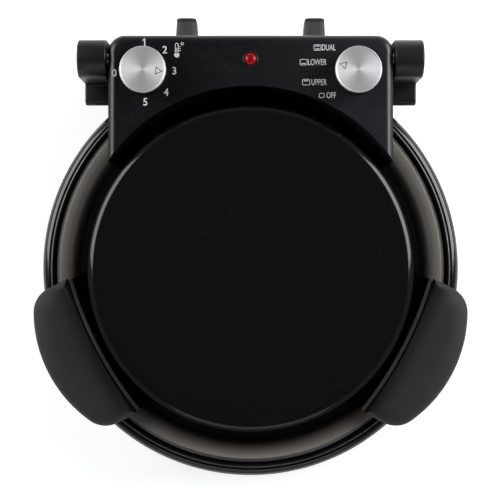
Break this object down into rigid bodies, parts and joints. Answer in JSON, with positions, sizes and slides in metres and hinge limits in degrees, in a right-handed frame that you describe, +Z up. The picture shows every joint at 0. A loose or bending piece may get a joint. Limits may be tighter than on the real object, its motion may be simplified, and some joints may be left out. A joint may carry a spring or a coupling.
{
  "type": "electric pizza maker",
  "caption": "Round worktop pizza oven with a baking stone, a hinged lid that carries the controls and two side handles, and storage feet behind.",
  "frame": {"origin": "on the table under the middle of the whole outline", "axes": "+Z up, -Y towards the front (the side that opens), +X to the right as seen from the front"},
  "size_m": [0.3676, 0.3964, 0.158],
  "materials": {
    "body_black": "smooth satin-gloss black enamel",
    "dark_trim": "satin dark grey",
    "moulded_black": "fine moulded texture",
    "panel_plastic": "satin",
    "handle_grip": "soft matte",
    "storage_foot": "matte, ribbed",
    "foot_rubber": "matte",
    "knob_plastic": "satin",
    "spun_aluminium": "spun",
    "lamp_red": "polished",
    "pressed_sheet": "aluminised pressed sheet",
    "heater_tube": "heat-darkened",
    "bracket_steel": "zinc plated",
    "fastener_steel": "plated",
    "bush_brass": "turned",
    "baking_stone": "fired cordierite, open grain",
    "insulator": "unglazed",
    "wire_sleeve": "matte silicone",
    "switch_body": "matte"
  },
  "bodies": {
    "base": {"base_shell": "body_black", "trim_ring": "dark_trim", "bottom_cover": "moulded_black", "rubber_feet": "foot_rubber", "bottom_screws": "fastener_steel", "base_pan": "pressed_sheet", "lower_heater": "heater_tube", "lower_heater_clips": "bracket_steel", "stone_supports": "bracket_steel", "terminal_block": "insulator", "base_wiring": "wire_sleeve", "rear_housing": "moulded_black", "rear_cover": "moulded_black", "rear_screws": "fastener_steel", "storage_foot_left": "storage_foot", "storage_foot_right": "storage_foot", "cord_inlet": "foot_rubber", "hinge_tower_left": "moulded_black", "hinge_tower_right": "moulded_black", "hinge_cap_left": "moulded_black", "hinge_cap_right": "moulded_black", "hinge_pin_left": "fastener_steel", "hinge_pin_right": "fastener_steel", "tower_screws": "fastener_steel", "lid_lead": "wire_sleeve", "base_grip_left": "handle_grip", "base_grip_right": "handle_grip", "base_grip_screws": "fastener_steel"},
    "stone": {"pizza_stone": "baking_stone"},
    "lid": {"lid_shell": "body_black", "reflector": "pressed_sheet", "upper_heater": "heater_tube", "upper_heater_clips": "bracket_steel", "lid_wiring": "wire_sleeve", "lid_bumpers": "foot_rubber", "control_housing": "panel_plastic", "housing_cover": "moulded_black", "housing_screws": "fastener_steel", "hinge_bracket": "bracket_steel", "hinge_bushes": "bush_brass", "thermostat": "bracket_steel", "sensor_bulb": "bush_brass", "selector_switch": "switch_body", "control_nuts": "bush_brass", "lamp_holder": "moulded_black", "lamp_lens": "lamp_red", "lamp_bezel": "panel_plastic", "handle_left": "handle_grip", "handle_right": "handle_grip", "handle_bracket_left": "moulded_black", "handle_bracket_right": "moulded_black", "handle_screws": "fastener_steel"},
    "thermostat_dial": {"thermostat_knob": "knob_plastic", "thermostat_face": "spun_aluminium", "thermostat_shaft": "fastener_steel"},
    "selector_dial": {"selector_knob": "knob_plastic", "selector_face": "spun_aluminium", "selector_shaft": "fastener_steel"}
  },
  "joints": [
    {"name": "lid_hinge", "type": "hinge", "parent": "base", "child": "lid", "pos_m": [0, 0.15485, 0.126], "axis": [-1, 0, 0], "range_deg": [0, 100]},
    {"name": "stone_lift", "type": "slide", "parent": "base", "child": "stone", "axis": [0, 0, 1], "range_m": [0, 0.008]},
    {"name": "thermostat_turn", "type": "hinge", "parent": "lid", "child": "thermostat_dial", "pos_m": [-0.087, 0.14225, 0.15], "axis": [0, 0, 1], "range_deg": [-84, 186]},
    {"name": "selector_turn", "type": "hinge", "parent": "lid", "child": "selector_dial", "pos_m": [0.087, 0.14225, 0.15], "axis": [0, 0, 1], "range_deg": [-31, 62]}
  ]
}
